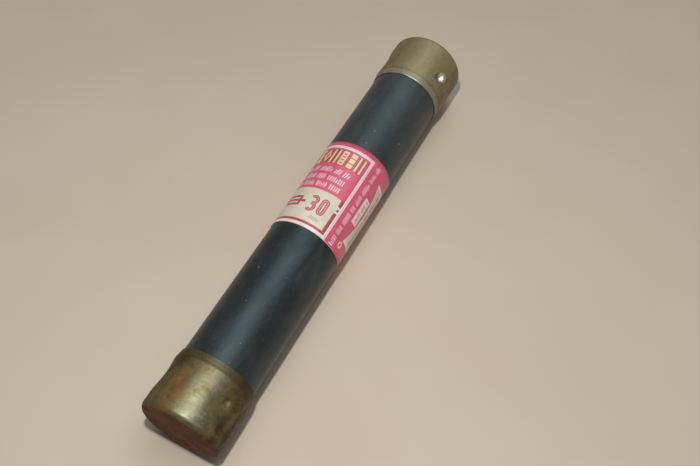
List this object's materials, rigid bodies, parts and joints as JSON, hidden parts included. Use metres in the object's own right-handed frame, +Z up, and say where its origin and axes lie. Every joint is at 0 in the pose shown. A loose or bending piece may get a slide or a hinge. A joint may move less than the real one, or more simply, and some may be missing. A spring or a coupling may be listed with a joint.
{
  "type": "cartridge fuse",
  "caption": "Cylindrical ferrule-type cartridge fuse: black fibre tube with a brass cap on each end, a printed paper label round it, and a spring-loaded overload trigger inside.",
  "frame": {"origin": "on the fuse's axis at the middle of its length", "axes": "+X along the fuse towards the end that the label is nearer to, +Z up from the surface it lies on, +Y completes the right-handed set"},
  "size_m": [0.127, 0.0206, 0.0206],
  "materials": {
    "ferrule_brass": "aged, blotchy brown and olive patina with a soft sheen",
    "fibre_black": "semi-matte black fibre with a soft bluish sheen and dust",
    "label_paper": "varnished red and cream printed paper",
    "fibre_grey": "matte vulcanised fibre",
    "solder": "satin tin alloy",
    "copper": "satin rolled copper",
    "plaster": "matte, fine-grained filler",
    "resistance_alloy": "satin rolled strip",
    "spring_steel": "bright drawn wire",
    "turned_brass": "clean turned brass"
  },
  "bodies": {
    "casing": {"casing_tube": "fibre_black", "label_wrap": "label_paper", "ferrule_left": "ferrule_brass", "ferrule_right": "ferrule_brass", "end_washer_left": "fibre_grey", "end_washer_right": "fibre_grey", "end_solder_left": "solder", "end_solder_right": "solder", "filler_left": "plaster", "filler_right": "plaster", "partition_left": "fibre_grey", "partition_right": "fibre_grey", "link_left": "copper", "link_right": "copper", "chamber_liner": "fibre_grey", "heater_strip": "resistance_alloy", "heat_absorber": "copper", "fusing_alloy": "solder", "trigger_spring": "spring_steel", "contact_sleeve": "copper", "spring_anchor": "turned_brass", "heater_rivet": "turned_brass", "absorber_rivet": "turned_brass", "anchor_rivet": "turned_brass"},
    "trigger": {"trigger_plunger": "turned_brass"}
  },
  "joints": [
    {"name": "trigger_release", "type": "slide", "parent": "casing", "child": "trigger", "axis": [1, 0, 0], "range_m": [0, 0.007], "deforming": ["trigger_spring"]}
  ]
}
